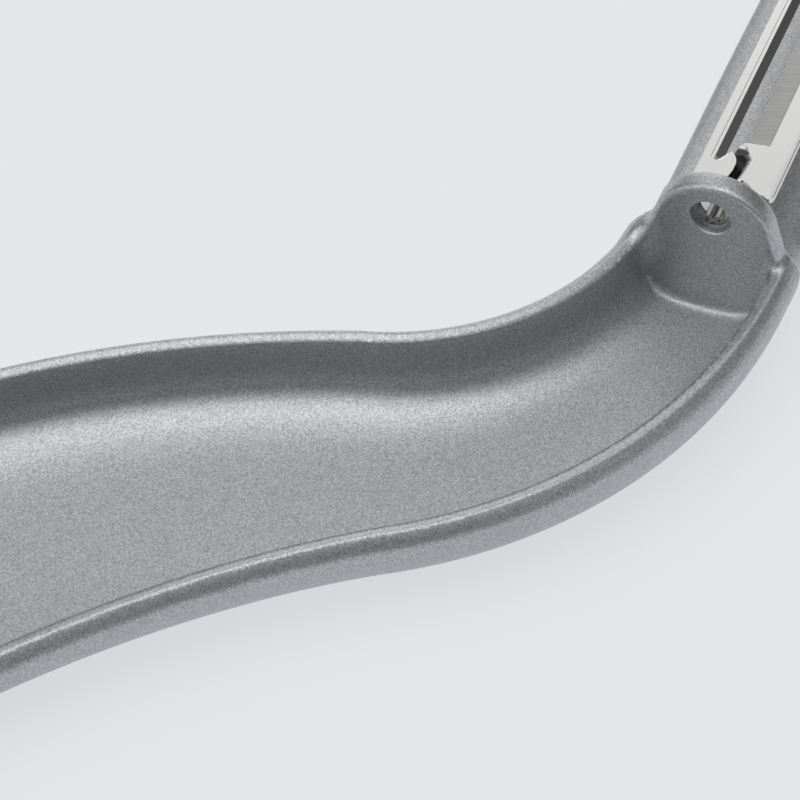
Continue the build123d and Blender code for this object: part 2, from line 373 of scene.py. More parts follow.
def section_points():
    """Half outline from the back's middle over the rim to the middle of the floor or the crown.

    Each point holds how it follows the sizes: for the trough (share of the half width, share of the
    rim's width, height), for the bow (share of the half width, share of the widest level, of the crown).
    """
    points = [((0, 0, 0), (0, 0, 0))]
    for angle in np.linspace(0, QUARTER, FLANK_STEPS):
        share = LAND_SHARE + (1 - LAND_SHARE) * sin(angle)
        points.append(((share, 0, PARTING_Z * (1 - cos(angle))), (share, 1 - cos(angle), 0)))
    inner = [(1, inset, height) for inset, height in rim_profile()[1:]]
    for step in np.linspace(0, 1, FLANK_STEPS):
        share = 1 - step**WALL_CROWDING
        wall = 1 - (1 - share**WALL_POWER) ** (1 / WALL_POWER)
        rise = FLOOR_HOLLOW * share**2 + (1 - FLOOR_HOLLOW) * wall
        inner.append((share, share, FLOOR_Z + (PARTING_Z - FLOOR_Z) * rise))
    for number, trough in enumerate(inner, start=1):
        angle = QUARTER * number / len(inner)
        points.append((trough, (cos(angle), 1 - sin(angle), sin(angle))))
    return points


def data_object(name, places, **attributes):
    """Loose points that hold what Geometry Nodes read: one vector or number for each point."""
    mesh = bpy.data.meshes.new(name)
    mesh.from_pydata([tuple(place) for place in places], [], [])
    for key, values in attributes.items():
        values = np.array(values, dtype=float)
        kind = "FLOAT_VECTOR" if values.ndim == 2 else "FLOAT"
        field = "vector" if values.ndim == 2 else "value"
        mesh.attributes.new(key, kind, "POINT").data.foreach_set(field, values.ravel())
    return mesh_object(name, mesh)


def skin_tree(stations, points):
    """Geometry Nodes tree that lays the casting's half sections round the loop of stations."""
    inputs = {"Stations": "Object", "Section": "Object", "Rim width": "Float", "Coating": "Material"}
    tree, given = geometry_tree("casting_skin", inputs)
    grid = add_node(tree, "GeometryNodeMeshGrid", {"Vertices X": stations, "Vertices Y": points})
    index = add_node(tree, "GeometryNodeInputIndex").outputs[0]
    along = add_node(tree, "FunctionNodeIntegerMath", {0: index, 1: points}, operation="DIVIDE_FLOOR")
    across = add_node(tree, "FunctionNodeIntegerMath", {0: index, 1: points}, operation="MODULO")

    def read(source, key, at, kind="FLOAT_VECTOR"):
        carrier = add_node(tree, "GeometryNodeObjectInfo", {"Object": given[source]}).outputs["Geometry"]
        named = add_node(tree, "GeometryNodeInputNamedAttribute", {"Name": key}, data_type=kind)
        return add_node(
            tree,
            "GeometryNodeSampleIndex",
            {"Geometry": carrier, "Value": named.outputs["Attribute"], "Index": at},
            data_type=kind,
        ).outputs[0]

    def split(vector):
        return add_node(tree, "ShaderNodeSeparateXYZ", {0: vector}).outputs

    def between(share, first, second):
        ends = {"Factor": share, "A": first, "B": second}
        return add_node(tree, "ShaderNodeMix", ends).outputs["Result"]

    station = along.outputs[0]
    point = across.outputs[0]
    side = read("Stations", "side", station)
    half, widest, crown = split(read("Stations", "sizes", station))
    bow = read("Stations", "bow", station, "FLOAT")
    trough_share, inset, height = split(read("Section", "trough", point))
    bow_share, low, high = split(read("Section", "bow_shape", point))
    full_reach = calculate(tree, "MULTIPLY", trough_share, half)
    rim_reach = calculate(tree, "MULTIPLY", inset, given["Rim width"])
    trough_reach = calculate(tree, "SUBTRACT", full_reach, rim_reach)
    bow_reach = calculate(tree, "MULTIPLY", bow_share, half)
    crown_height = calculate(tree, "MULTIPLY", high, crown)
    bow_height = calculate(tree, "MULTIPLY_ADD", low, widest, crown_height)
    reach = between(bow, trough_reach, bow_reach)
    level = between(bow, height, bow_height)
    sideways = add_node(tree, "ShaderNodeVectorMath", {0: side, "Scale": reach}, operation="SCALE")
    upwards = add_node(tree, "ShaderNodeCombineXYZ", {"Z": level})
    offset = add_node(
        tree, "ShaderNodeVectorMath", {0: sideways.outputs[0], 1: upwards.outputs[0]}, operation="ADD"
    )
    origin = read("Stations", "origin", station)
    place = add_node(tree, "ShaderNodeVectorMath", {0: origin, 1: offset.outputs[0]}, operation="ADD")
    laid = add_node(
        tree, "GeometryNodeSetPosition", {"Geometry": grid.outputs["Mesh"], "Position": place.outputs[0]}
    )
    closed = add_node(
        tree, "GeometryNodeMergeByDistance", {"Geometry": laid.outputs[0], "Distance": SKIN_WELD}
    )
    coated = add_node(
        tree, "GeometryNodeSetMaterial", {"Geometry": closed.outputs[0], "Material": given["Coating"]}
    )
    real = add_node(tree, "GeometryNodeRealizeInstances", {"Geometry": coated.outputs[0]})
    add_node(tree, "NodeGroupOutput", {0: real.outputs[0]})
    return tree


def run_tree(name, tree, values):
    """Mesh that a Geometry Nodes tree makes from its named inputs."""
    carrier = mesh_object(name, bpy.data.meshes.new(name))
    modifier = carrier.modifiers.new(name, "NODES")
    modifier.node_group = tree
    for item in tree.interface.items_tree:
        if item.in_out == "INPUT" and item.name in values:
            modifier[item.identifier] = values[item.name]
    return settled(carrier)


def casting_skin(coating):
    """Handle and bow as one closed skin, without ears, collar and holes."""
    stations = loop_stations()
    points = section_points()
    path = data_object(
        "stations",
        [station["origin"] for station in stations],
        origin=[station["origin"] for station in stations],
        side=[station["side"] for station in stations],
        sizes=[station["sizes"] for station in stations],
        bow=[station["bow"] for station in stations],
    )
    outline = data_object(
        "section",
        [(number, 0, 0) for number in range(len(points))],
        trough=[trough for trough, _ in points],
        bow_shape=[bow for _, bow in points],
    )
    tree = skin_tree(len(stations), len(points))
    values = {"Stations": path, "Section": outline, "Rim width": RIM_WIDTH, "Coating": coating}
    mesh = run_tree("casting_skin", tree, values)
    for helper in (path, outline):
        bpy.data.objects.remove(helper)
    return outward(mesh)


# Casting: ears, collar, fillets and holes


def ear_outline():
    """Upright outline of an ear, anticlockwise as (off the ear's middle sideways, height)."""
    sagitta = EAR_TOP_Z - EAR_SHOULDER[1]
    radius = (EAR_SHOULDER[0] ** 2 + sagitta**2) / (2 * sagitta)
    centre = EAR_TOP_Z - radius
    start = np.arctan2(EAR_SHOULDER[1] - centre, EAR_SHOULDER[0])
    angles = np.linspace(start, pi - start, EAR_HEAD_POINTS)
    head = [(radius * cos(a), centre + radius * sin(a)) for a in angles]
    right = [EAR_BASE, EAR_FOOT]
    left = [(-y, z) for y, z in reversed(right)]
    return np.array(right + head + left)


def outline_distance(points, outline):
    """Signed distance to a convex outline and its direction, for points in the outline's plane."""
    best = np.full(len(points), np.inf)
    nearest = np.zeros_like(points)
    deepest = np.full(len(points), -np.inf)
    for start, end in zip(outline, np.roll(outline, -1, axis=0)):
        edge = end - start
        length = np.hypot(*edge)
        if length == 0:
            continue
        outward = np.array((edge[1], -edge[0])) / length
        deepest = np.maximum(deepest, (points - start) @ outward)
        share = np.clip((points - start) @ edge / length**2, 0, 1)
        foot = start + share[:, None] * edge
        gap = np.linalg.norm(points - foot, axis=1)
        closer = gap < best
        best = np.where(closer, gap, best)
        nearest[closer] = foot[closer]
    sign = np.where(deepest > 0, 1.0, -1.0)
    away = (points - nearest) * (sign / np.maximum(best, TINY))[:, None]
    return sign * best, away


def rounded_distance(flat, flat_away, through, through_away, rounding):
    """Signed distance to a plate with rounded edges, from the distances to its outline and its faces."""
    first = flat + rounding
    second = through + rounding
    outer = np.hypot(np.maximum(first, 0), np.maximum(second, 0))
    inner = np.minimum(np.maximum(first, second), 0)
    corner = (first > 0) & (second > 0)
    flat_share = np.where(corner, first / np.maximum(outer, TINY), first >= second)
    through_share = np.where(corner, second / np.maximum(outer, TINY), first < second)
    away = flat_away * flat_share[:, None] + through_away * through_share[:, None]
    return outer + inner - rounding, away


def ear_distance(points, ear_x):
    """Signed distance to the ear whose face towards the handle stands at ear_x, and its direction."""
    flat, away = outline_distance(points[:, 1:] - np.array((EAR_Y, 0)), ear_outline())
    middle = ear_x + EAR_THICKNESS / 2
    through = np.abs(points[:, 0] - middle) - EAR_THICKNESS / 2
    flat_away = np.column_stack((np.zeros(len(points)), away))
    through_away = np.outer(np.sign(points[:, 0] - middle), (1.0, 0, 0))
    return rounded_distance(flat, flat_away, through, through_away, EAR_ROUNDING)


def collar_distance(points, centre):
    """Signed distance to the collar round the hanging hole, and its direction."""
    radial = points[:, :2] - np.array(centre[:2])
    reach = np.linalg.norm(radial, axis=1)
    flat_away = np.column_stack((radial / np.maximum(reach, TINY)[:, None], np.zeros(len(points))))
    middle = (COLLAR_Z + EAR_BASE[1]) / 2
    through = np.abs(points[:, 2] - middle) - (COLLAR_Z - EAR_BASE[1]) / 2
    through_away = np.outer(np.sign(points[:, 2] - middle), (0, 0, 1.0))
    return rounded_distance(reach - COLLAR_RADIUS, flat_away, through, through_away, COLLAR_ROUNDING)


def skin_distance(points, tree):
    """Signed distance to the skin and its direction; the faces round the foot point settle the side."""
    gaps = np.zeros(len(points))
    away = np.zeros_like(points)
    for number, point in enumerate(points):
        foot, normal, _, gap = tree.find_nearest(point)
        for _, beside, _, _ in tree.find_nearest_range(foot, WELD):
            normal = normal + beside
        offset = Vector(point) - foot
        side = 1.0 if offset.dot(normal) >= 0 else -1.0
        gaps[number] = side * gap
        away[number] = offset * (side / gap) if gap > 1e-8 else normal.normalized()
    return gaps, away


def prism(name, outline, low, high, place):
    """Closed block of an outline between two levels; place turns (across, up, level) into a point."""
    mesh = bpy.data.meshes.new(name)
    count = len(outline)
    points = [place(u, v, level) for level in (low, high) for u, v in outline]
    faces = [tuple(range(count)), tuple(range(2 * count - 1, count - 1, -1))]
    faces += [(i, i + count, (i + 1) % count + count, (i + 1) % count) for i in range(count)]
    mesh.from_pydata(points, [], faces)
    return outward(mesh)


def outward(mesh):
    """Turns a closed mesh's faces outwards."""
    work = bmesh.new()
    work.from_mesh(mesh)
    bmesh.ops.recalc_face_normals(work, faces=work.faces)
    work.to_mesh(mesh)
    work.free()
    return mesh


def joined(name, meshes):
    """One mesh object of several meshes."""
    work = bmesh.new()
    for mesh in meshes:
        work.from_mesh(mesh)
    result = bpy.data.meshes.new(name)
    work.to_mesh(result)
    work.free()
    return mesh_object(name, result)


def lathe(name, profile, place, steps=ROUND_STEPS):
    """Closed round body; profile is (level, radius) pairs, place turns (level, across, up) into a point."""
    points = [place(profile[0][0], 0, 0), place(profile[-1][0], 0, 0)]
    turns = [2 * pi * i / steps for i in range(steps)]
    for level, radius in profile:
        points += [place(level, radius * cos(a), radius * sin(a)) for a in turns]
    faces = []
    for ring in range(len(profile) - 1):
        low = 2 + ring * steps
        for i in range(steps):
            beside = (i + 1) % steps
            faces.append((low + i, low + beside, low + steps + beside, low + steps + i))
    last = 2 + (len(profile) - 1) * steps
    faces += [(0, 2 + (i + 1) % steps, 2 + i) for i in range(steps)]
    faces += [(1, last + i, last + (i + 1) % steps) for i in range(steps)]
    mesh = bpy.data.meshes.new(name)
    mesh.from_pydata(points, [], faces)
    return outward(mesh)


def hole_cutters(hang_centre):
    """Bodies that cut the two eyes with their bores, and the hanging hole, with slightly eased edges."""
    overrun = 1.5 * MM
    eye = (
        (-overrun, EYE_RADIUS + EYE_EASING),
        (-0.02 * MM, EYE_RADIUS + EYE_EASING),
        (0.06 * MM, EYE_RADIUS + EYE_EASING / 2),
        (EYE_EASING, EYE_RADIUS),
        (EYE_DEPTH, EYE_RADIUS),
        (EYE_DEPTH, BORE_RADIUS),
        (EAR_THICKNESS - EYE_EASING, BORE_RADIUS),
        (EAR_THICKNESS, BORE_RADIUS + EYE_EASING),
        (EAR_THICKNESS + overrun, BORE_RADIUS + EYE_EASING),
    )
    bend = 0.3 * HANG_EASING
    hang = (
        (-overrun, HANG_RADIUS + HANG_EASING),
        (0.0, HANG_RADIUS + HANG_EASING),
        (bend, HANG_RADIUS + bend),
        (HANG_EASING, HANG_RADIUS),
        (COLLAR_Z - HANG_EASING, HANG_RADIUS),
        (COLLAR_Z - bend, HANG_RADIUS + bend),
        (COLLAR_Z, HANG_RADIUS + HANG_EASING),
        (COLLAR_Z + overrun, HANG_RADIUS + HANG_EASING),
    )

    def rear(level, across, up):
        return (PIVOT.x + level, PIVOT.y + across, PIVOT.z + up)

    def front(level, across, up):
        return (PIVOT.x + SPAN - level, PIVOT.y + across, PIVOT.z + up)

    def upright(level, across, up):
        return (hang_centre.x + across, hang_centre.y + up, level)

    return [lathe("eye", eye, rear), lathe("eye", eye, front), lathe("hanging_hole", hang, upright)]


def fillet_reach(points):
    """Size of the fillet round an ear: tight at the floor, wider up the walls, widest at the left rim."""
    start, climb_height = FILLET_CLIMB
    climb = ease((points[:, 2] - start) / climb_height)
    left = ease((points[:, 1] - EAR_Y) / FILLET_SPREAD)
    return FILLET_AT_FLOOR + (FILLET_UP_WALL + FILLET_AT_LEFT_RIM * left) * climb


def settle_on_skin(mesh, skin, ears_x, hang_centre):
    """Moves the rough skin's points onto the true skin, or onto the fillets round ears and collar.

    A fillet is a smooth minimum of two signed distances; its points step along the distance's slope.
    """
    work = bmesh.new()
    work.from_mesh(skin)
    tree = BVHTree.FromBMesh(work)
    work.free()
    places = np.zeros(len(mesh.vertices) * 3)
    mesh.vertices.foreach_get("co", places)
    places = places.reshape(-1, 3)
    blends = [(lambda p, x=x: ear_distance(p, x), fillet_reach) for x in ears_x]
    blends.append((lambda p: collar_distance(p, hang_centre), lambda p: np.full(len(p), COLLAR_FILLET)))
    blended = np.zeros(len(places), dtype=bool)
    for distance, reach in blends:
        near = distance(places)[0] < FILLET_REGION
        blended |= near
        for _ in range(FILLET_ROUNDS):
            spot = places[near]
            first, first_away = skin_distance(spot, tree)
            second, second_away = distance(spot)
            size = reach(spot)
            mix = np.clip(0.5 + 0.5 * (first - second) / size, 0, 1)
            gap = first + (second - first) * mix - size * mix * (1 - mix)
            away = first_away * (1 - mix)[:, None] + second_away * mix[:, None]
            steepness = np.maximum((away**2).sum(axis=1), LEAST_STEEPNESS)
            places[near] = spot - away * (gap / steepness)[:, None]
    for number in np.flatnonzero(~blended):
        places[number] = tree.find_nearest(places[number])[0]
    mesh.vertices.foreach_set("co", places.ravel())


def drilled(casting, hang_centre):
    """Mesh of the casting with its holes; the object itself is removed."""
    cutters = []
    for cutter_mesh in hole_cutters(hang_centre):
        cutter = mesh_object(cutter_mesh.name, cutter_mesh)
        cutters.append(cutter)
        cut = casting.modifiers.new(cutter.name, "BOOLEAN")
        cut.operation = "DIFFERENCE"
        cut.solver = "MANIFOLD"
        cut.object = cutter
    mesh = settled(casting)
    for cutter in cutters:
        bpy.data.objects.remove(cutter)
    return mesh


def handle_casting(coating):
    """The whole casting: skin, ears and collar in one, with cast fillets, then the holes."""
    skin = casting_skin(coating)
    hang_centre = route_at(ROUTE_LENGTH)[0]
    ears_x = (PIVOT.x, PIVOT.x + SPAN - EAR_THICKNESS)

    def on_ear(across, height, x):
        return (x, EAR_Y + across, height)

    def on_collar(across, along, level):
        return (hang_centre.x + across, hang_centre.y + along, level)

    ears = [prism("ear", ear_outline(), x, x + EAR_THICKNESS, on_ear) for x in ears_x]
    turns = [2 * pi * i / ROUND_STEPS for i in range(ROUND_STEPS)]
    ring = [(COLLAR_RADIUS * cos(a), COLLAR_RADIUS * sin(a)) for a in turns]
    collar = prism("collar", ring, EAR_BASE[1], COLLAR_Z, on_collar)
    rough = joined("casting_rough", [skin, *ears, collar])
    remesh = rough.modifiers.new("one_skin", "REMESH")
    remesh.mode = "VOXEL"
    remesh.voxel_size = SKIN_GRAIN
    mesh = settled(rough)
    settle_on_skin(mesh, skin, ears_x, hang_centre)
    mesh = drilled(mesh_object("handle_casting_lacquered", mesh), hang_centre)
    mesh.materials.clear()
    mesh.materials.append(coating)
    mesh.shade_smooth()
    mesh.set_sharp_from_angle(angle=CASTING_CREASE)
    return mesh_object("handle_casting_lacquered", mesh)


# Blade, in its own plane: x from the rear ear's outer face, across to the left, height off the pivot axis

BLADE_TILT = radians(-7)
BLADE_PLACE = Matrix.Translation(PIVOT) @ Matrix.Rotation(BLADE_TILT, 4, "X")
SHEET_TOP = -0.6 * MM
SHEET = 0.6 * MM  # thickness
SHEET_MIDDLE = SHEET_TOP - SHEET / 2
SLOT_LEFT = 1.9 * MM  # across the blade, at the sheet's bottom
SLOT_RIGHT = 0.2 * MM
BEVEL_FROM = -2.25 * MM  # across the blade, where the ground bevel starts
BEVEL_DEPTH = 0.45 * MM
BEVEL_START_X = 12.0 * MM
SLOT_TIP_X = 8.9 * MM
NOTCH_X = 6.7 * MM
PIN_RADIUS = 0.6 * MM
PIN_OFFSET = 0.56 * MM
PIN_START_X = 0.9 * MM
PIN_LENGTH = 2.9 * MM
CURL_SHEET = 0.16 * MM
CURL_INNER = 0.1 * MM
CURL_TURNS = 1.7
CURL_STEPS = 28
STEEL_CREASE = radians(28)
EDGE_ROUNDING = 0.06 * MM
NOTCH_ROUNDING = 0.16 * MM
EDGE_FALL = {0: 1.0, 1: 0.25}  # share of an edge's rounding, by column from the edge
HEM = ((0.05 * MM, 0.02), (0.14 * MM, 0.06))  # places of the columns beside an edge, and their limits
FOLD_DEPTH = 0.035 * MM
FOLD_COLUMN = 6  # of the left lobe, at 0.713 of its width
FOLD_START_X = 8.7 * MM
FOLD_RAMP = 1.5 * MM
LOBE_END_X = 10.44 * MM
VALLEY_DEPTH = 0.6 * MM
VALLEY_START_X = 4.9 * MM
VALLEY_RAMP = 1.2 * MM
VALLEY_END_X = 11.5 * MM
VALLEY_RUN_OUT = 0.9 * MM
BEVEL_CORNER = 0.4 * MM
BEVEL_CORNER_WIDTH = 0.9 * MM
BEVEL_RUN_OUT_SLOPE = 1.1
ROLL_START_X = 6.9 * MM
ROLL_LENGTH = 2.3 * MM
BORE_SHADE_START_X = 4.9 * MM  # from here to the ear the rolled tongue is painted dark and rough, as painted shade inside the bore
BORE_SHADE_RAMP = 0.6 * MM
LEAST_SLOT = 0.02 * MM  # the slot's least width, at its tip

# The sheet is laid in four strips of columns: the left lobe, the part between the slot and the drawn
# valley, the valley with the ground bevel, and the right lobe
STRIP_STARTS = {"left": 4.8 * MM, "lobe": 0.0, "bevel": 0.0, "right": 4.62 * MM}
STRIP_COLUMNS = {  # shares of a strip's width, between the columns beside its edges
    "left": (0.3, 0.66, 0.69, 0.713, 0.736, 0.76, 0.84, 0.91),
    "lobe": (0.26, 0.4, 0.55, 0.7, 0.85),
    "bevel": np.linspace(0.05, 0.95, 22),
    "right": (0.25, 0.4, 0.6, 0.75),
}


def edge_line(*points):
    """Line along the blade through points given in millimetres; returns its place across at x."""
    line = np.array(points) * MM
    return lambda x: np.interp(x, line[:, 0], line[:, 1])


LEFT_EDGE = edge_line((4.8, 3.4), (4.86, 3.66), (5.05, 3.86), (5.4, 3.97), (6.0, 4.0))
LEFT_INNER = edge_line(
    (4.8, 3.4), (4.92, 3.0), (5.1, 2.7), (5.5, 2.3), (6.7, 1.0), (8.9, 2.4), (8.93, 2.53),
    (9.0, 2.61), (9.15, 2.65)
)
VALLEY_LEFT = edge_line(
    (4.4, 0.0), (6.3, 0.67), (7.06, 0.42), (7.85, 0.28), (8.9, 0.28), (9.5, 0.46), (10.0, 0.78),
    (10.45, 1.15), (11.0, 0.84), (11.85, 0.3), (12.1, 0.12), (13.0, 0.0)
)
VALLEY_RIGHT = edge_line(
    (6.2, -0.9), (7.0, -1.0), (8.0, -1.15), (9.0, -1.25), (9.65, -1.25), (10.2, -0.85), (10.7, -0.4),
    (11.2, -0.05), (11.6, 0.1), (12.0, 0.1)
)
SLOT_EDGE = edge_line(
    (4.6, 1.16), (6.7, 1.0), (8.9, 2.4), (8.93, 2.28), (9.013, 2.191), (11.85, 0.42), (12.1, 0.24),
    (12.4, 0.2)
)
TONGUE_RIGHT = edge_line((4.6, -1.16), (6.7, -1.0), (12.0, -2.25))
RIGHT_INNER = edge_line(
    (4.62, -4.4), (4.66, -4.25), (4.78, -4.05), (4.92, -3.88), (5.0, -3.65), (5.02, -2.95), (5.15, -2.65),
    (5.5, -2.3), (6.0, -1.95), (6.4, -1.5), (6.7, -1.0), (12.0, -2.25)
)
RIGHT_EDGE = edge_line(
    (4.62, -4.4), (4.66, -4.52), (4.78, -4.66), (4.92, -4.74), (5.15, -4.81), (5.5, -4.85)
)


def blade_stations():
    """Places along the blade from the tongue to the middle, close together where it is formed."""
    stretches = (  # from, to and number of places, in millimetres
        (3.3, 4.5, 9),
        (4.6, 5.2, 13),
        (5.3, 8.8, 36),
        (8.9, 9.2, 11),
        (9.3, 11.9, 27),
        (12.0, 12.6, 13),
    )
    places = [np.linspace(*stretch) for stretch in stretches]
    corners = (4.62, 4.66, 4.78, 4.92, 4.98, 5.02, 6.7, 13.0, 31.0)
    return np.unique(np.round(np.concatenate(places + [corners]), 3)) * MM


def mixed(first, second, share):
    """Value between two."""
    return first + (second - first) * share


def sheet_columns(x, bottom):
    """Places across the blade at x: for each strip of columns its name and its values, left to right."""
    left_inner = LEFT_INNER(x)
    if x > SLOT_TIP_X:
        if bottom:
            left_inner = min(left_inner, SLOT_LEFT)
        left_inner = max(left_inner, SLOT_EDGE(x) + LEAST_SLOT)
    strips = (
        ("left", LEFT_EDGE(x), left_inner),
        ("lobe", SLOT_EDGE(x), VALLEY_LEFT(x)),
        ("bevel", VALLEY_LEFT(x), TONGUE_RIGHT(x)),
        ("right", RIGHT_INNER(x), RIGHT_EDGE(x)),
    )
    columns = []
    for name, start, end in strips:
        hem = [min(max(offset / max(abs(end - start), TINY), 0), limit) for offset, limit in HEM]
        far_hem = [1 - share for share in reversed(hem)]
        across = [0, *hem, *STRIP_COLUMNS[name], *far_hem, 1]
        columns.append((name, [mixed(start, end, share) for share in across]))
    return columns


def edge_drop(name, number, last, x):
    """Drop of the sheet's rounded cut edges at a column, counted from both sides of its strip."""
    notch = NOTCH_ROUNDING if x < NOTCH_X - TINY else 0.0
    slant = EDGE_ROUNDING if SLOT_TIP_X < x < BEVEL_START_X else 0.0
    first, second = {
        "left": (EDGE_ROUNDING, notch),
        "lobe": (slant, 0.0),
        "bevel": (0.0, 0.0),
        "right": (notch, EDGE_ROUNDING),
    }[name]
    return max(first * EDGE_FALL.get(number, 0.0), second * EDGE_FALL.get(last - number, 0.0))


def sheet_height(name, number, last, x, across, bottom):
    """Height of the sheet's top or bottom at a place, and its share pressed down, which also marks painted
    shade.
    """
    drawn = 0.0
    # The share pressed down into the valley also darkens the steel's colour there, as painted shade.
    if name in ("lobe", "bevel"):
        width = VALLEY_LEFT(x) - VALLEY_RIGHT(x)
        depth = (VALLEY_LEFT(x) - across) / max(width, 1e-6)
        fade = ease((VALLEY_END_X - x) / VALLEY_RUN_OUT) * ease((x - VALLEY_START_X) / VALLEY_RAMP)
        if name == "bevel" and number > 0 and depth < 1:
            drawn = float((1 - ease(depth)) * fade)
        if x > LOBE_END_X:
            drawn = max(drawn, float(fade * (depth < 1)))
    height = SHEET_TOP - drawn * VALLEY_DEPTH
    height -= SHEET if bottom else edge_drop(name, number, last, x)
    if not bottom and x >= BEVEL_START_X and name in ("lobe", "bevel"):
        cut = BEVEL_DEPTH * (across - BEVEL_FROM) / (SLOT_RIGHT - BEVEL_FROM)
        corner = BEVEL_CORNER * (1 - ease((across - BEVEL_FROM) / BEVEL_CORNER_WIDTH)) ** 2
        run_out = BEVEL_RUN_OUT_SLOPE * (x - BEVEL_START_X - corner)
        height -= max(min(cut, run_out), 0)
    if name == "left" and not bottom and number == FOLD_COLUMN:
        height -= FOLD_DEPTH * ease((x - FOLD_START_X) / FOLD_RAMP)
    if name in ("lobe", "bevel"):
        rise = ease((ROLL_START_X - x) / ROLL_LENGTH)
        pin = sqrt(max(PIN_RADIUS**2 - (abs(across) - PIN_OFFSET) ** 2, 0))
        height = mixed(height, SHEET_MIDDLE + (-pin if bottom else pin), rise)
        # Towards the ear the rolled tongue is marked for painted shade, for the shade inside the bore.
        drawn = max(drawn, ease((BORE_SHADE_START_X - x) / BORE_SHADE_RAMP))
    return height, drawn


def blade_half():
    """Rear half of the blade's sheet: vertices, faces, which faces are ground, and how far it is pressed
    down, which also marks painted shade.
    """
    stations = blade_stations()
    sheets = []
    drawn_and_painted_shade_at = []
    for bottom in (False, True):
        rows = []
        for x in stations:
            row = []
            for name, values in sheet_columns(x, bottom):
                last = len(values) - 1
                for number, across in enumerate(values):
                    height, drawn = sheet_height(name, number, last, x, across, bottom)
                    row.append((x, across, height))
                    drawn_and_painted_shade_at.append(drawn)
            rows.append(row)
        sheets.append(rows)
    strips = sheet_columns(stations[0], False)
    widths = [len(values) for _, values in strips]
    starts = np.cumsum([0] + widths[:-1]).tolist()
    _, lobe, bevel, right = starts
    count = sum(widths)
    size = len(stations) * count
    last_row = len(stations) - 1

    def vertex(row, column):
        """Number of a vertex; where two strips join, the second has its first column from the first."""
        past_notch = stations[row] >= NOTCH_X - TINY
        before_slot = stations[row] <= SLOT_TIP_X + TINY
        joined_here = {lobe: past_notch and before_slot, bevel: True, right: past_notch}
        if joined_here.get(column, False):
            column -= 1
        return row * count + column

    vertices = [point for rows in sheets for row in rows for point in row]
    faces = []
    ground = []
    edges = {}  # a dict, because it keeps the order in which the edges were met
    for row in range(last_row):
        for (name, _), start, width in zip(strips, starts, widths):
            if stations[row] < STRIP_STARTS[name] - TINY:
                continue
            is_ground = name in ("lobe", "bevel") and stations[row] >= BEVEL_START_X - TINY
            for column in range(start, start + width - 1):
                ring = [
                    vertex(row, column),
                    vertex(row, column + 1),
                    vertex(row + 1, column + 1),
                    vertex(row + 1, column),
                ]
                faces.append(ring)
                faces.append([size + number for number in reversed(ring)])
                ground += [is_ground, False]
                for side in range(4):
                    edges[(ring[side], ring[(side + 1) % 4])] = True
    for a, b in edges:
        at_middle = a // count == b // count == last_row
        if (b, a) not in edges and not at_middle:
            faces.append([b, a, size + a, size + b])
            ground.append(False)
    return vertices, faces, ground, drawn_and_painted_shade_at


def blade_sheet():
    """The whole sheet as a mesh in the blade's own plane, with the share pressed down and the painted shade
    kept as an attribute.
    """
    vertices, faces, ground, drawn_and_painted_shade_at = blade_half()
    work = bmesh.new()
    # The attribute holds the share pressed down, which is also the painted shade of the valley and of the
    # rolled tongue in the bore.
    layer = work.verts.layers.float.new("drawn")
    for mirrored in (False, True):
        made = []
        for (x, across, height), drawn in zip(vertices, drawn_and_painted_shade_at):
            vert = work.verts.new((SPAN - x if mirrored else x, across, height))
            vert[layer] = drawn
            made.append(vert)
        for ring, is_ground in zip(faces, ground):
            corners = [made[k] for k in dict.fromkeys(ring)]
            if len(corners) > 2:
                work.faces.new(corners).material_index = int(is_ground)
    bmesh.ops.delete(work, geom=[v for v in work.verts if not v.link_faces], context="VERTS")
    bmesh.ops.remove_doubles(work, verts=work.verts, dist=WELD)
    bmesh.ops.dissolve_degenerate(work, dist=WELD, edges=work.edges)
    bmesh.ops.recalc_face_normals(work, faces=work.faces)
    mesh = bpy.data.meshes.new("blade_sheet")
    work.to_mesh(mesh)
    work.free()
    return mesh


def curl_tree():
    """Geometry Nodes tree that puts a curled strip of sheet at every point it is given."""
    inputs = {
        "Places": "Object",
        "Outer radius": "Float",
        "Inner radius": "Float",
        "Sheet": "Float",
        "Length": "Float",
        "Steel": "Material",
    }
    tree, given = geometry_tree("rolled_edges", inputs)
    spiral = add_node(
        tree,
        "GeometryNodeCurveSpiral",
        {
            "Resolution": CURL_STEPS,
            "Rotations": CURL_TURNS,
            "Start Radius": given["Outer radius"],
            "End Radius": given["Inner radius"],
            "Height": 0.0,
        },
    )
    sizes = {"Width": given["Sheet"], "Height": given["Length"]}
    section = add_node(tree, "GeometryNodeCurvePrimitiveQuadrilateral", sizes)
    swept = {"Curve": spiral.outputs[0], "Profile Curve": section.outputs[0], "Fill Caps": True}
    strip = add_node(tree, "GeometryNodeCurveToMesh", swept)
    carrier = add_node(tree, "GeometryNodeObjectInfo", {"Object": given["Places"]}).outputs["Geometry"]
    turn = add_node(tree, "GeometryNodeInputNamedAttribute", {"Name": "turn"}, data_type="FLOAT_VECTOR")
    hand = add_node(tree, "GeometryNodeInputNamedAttribute", {"Name": "hand"}, data_type="FLOAT_VECTOR")
    rolled = add_node(
        tree,
        "GeometryNodeInstanceOnPoints",
        {
            "Points": carrier,
            "Instance": strip.outputs[0],
            "Rotation": turn.outputs["Attribute"],
            "Scale": hand.outputs["Attribute"],
        },
    )
    real = add_node(tree, "GeometryNodeRealizeInstances", {"Geometry": rolled.outputs[0]})
    steel = add_node(
        tree, "GeometryNodeSetMaterial", {"Geometry": real.outputs[0], "Material": given["Steel"]}
    )
    add_node(tree, "NodeGroupOutput", {0: steel.outputs[0]})
    return tree


